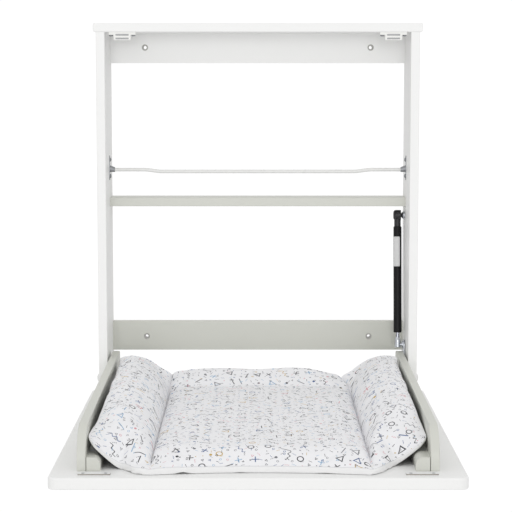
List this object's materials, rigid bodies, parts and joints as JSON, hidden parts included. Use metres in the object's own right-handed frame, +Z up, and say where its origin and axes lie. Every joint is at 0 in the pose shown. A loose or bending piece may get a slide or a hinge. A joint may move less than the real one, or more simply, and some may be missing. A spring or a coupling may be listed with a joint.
{
  "type": "fold-down changing table",
  "caption": "Wall-mounted changing table: a shallow frame with a shelf and a padded flap that folds up, eased by a gas strut and held shut by magnets.",
  "frame": {"origin": "on the wall plane, in the middle of the four wall screw holes", "axes": "X to the viewer's right, Y into the wall, Z up; the flap is drawn open, reaching out along -Y"},
  "size_m": [0.736, 0.895, 0.8284],
  "materials": {
    "white_lacquer": "white lacquered board, satin, small eased edges",
    "grey_lacquer": "light warm grey lacquered board, satin",
    "zinc_steel": "zinc-plated steel",
    "white_enamel_rod": "pale stoved enamel on steel",
    "white_plastic": "moulded white plastic",
    "ferrite": "sintered dark grey ferrite",
    "beech": "fluted beech dowel",
    "black_enamel": "black enamelled steel tube, satin",
    "black_plastic": "moulded black plastic",
    "hard_chrome": "polished hard-chromed piston rod",
    "printed_cotton": "white cotton with a small scattered print, padded",
    "grip_tape": "near-black ribbed rubber strip"
  },
  "bodies": {
    "frame": {"left_stile": "white_lacquer", "right_stile": "white_lacquer", "top_board": "white_lacquer", "lower_wall_rail": "grey_lacquer", "upper_wall_rail": "white_lacquer", "shelf_board": "grey_lacquer", "frame_screws": "zinc_steel", "frame_screw_caps": "white_plastic", "top_board_dowels": "beech", "retaining_rod": "white_enamel_rod", "rod_socket_left": "zinc_steel", "rod_socket_right": "zinc_steel", "rod_socket_screws": "zinc_steel", "catch_housing_left": "white_plastic", "catch_housing_right": "white_plastic", "catch_pole_plates": "zinc_steel", "catch_magnets": "ferrite", "catch_screws": "zinc_steel", "pivot_bolt_left": "white_enamel_rod", "pivot_bolt_right": "white_enamel_rod", "pivot_spacers": "white_plastic", "pivot_lock_nuts": "zinc_steel", "strut_head_stud": "zinc_steel"},
    "flap": {"flap_panel": "white_lacquer", "strike_plates": "zinc_steel", "strike_plate_screws": "zinc_steel", "left_side_board": "grey_lacquer", "right_side_board": "grey_lacquer", "pivot_bush_left": "white_plastic", "pivot_bush_right": "white_plastic", "left_cleat": "grey_lacquer", "right_cleat": "grey_lacquer", "cleat_screws": "zinc_steel", "strut_bracket": "zinc_steel", "strut_bracket_screws": "zinc_steel", "strut_foot_stud": "zinc_steel", "changing_mat": "printed_cotton", "mat_grip_tapes": "grip_tape"},
    "strut_rod": {"strut_rod_end": "zinc_steel", "strut_rod": "hard_chrome", "strut_piston": "black_plastic"},
    "strut_cylinder": {"strut_tube": "black_enamel", "strut_gland": "black_plastic", "strut_head_socket": "black_plastic"}
  },
  "joints": [
    {"name": "flap_hinge", "type": "hinge", "parent": "frame", "child": "flap", "pos_m": [0, -0.127, -0.3965], "axis": [-1, 0, 0], "range_deg": [0, 90]},
    {"name": "strut_foot_pivot", "type": "hinge", "parent": "flap", "child": "strut_rod", "pos_m": [0.3095, -0.077, -0.3313], "axis": [1, 0, 0], "range_deg": [0, 94.14]},
    {"name": "strut_slide", "type": "slide", "parent": "strut_rod", "child": "strut_cylinder", "axis": [0, 0.1187, 0.9929], "range_m": [0, 0.1137]}
  ],
  "couplings": [
    {"joint": "strut_foot_pivot", "follows": "flap_hinge", "ratio": 1.0458},
    {"joint": "strut_slide", "follows": "flap_hinge", "m_per_rad": 0.07233}
  ]
}
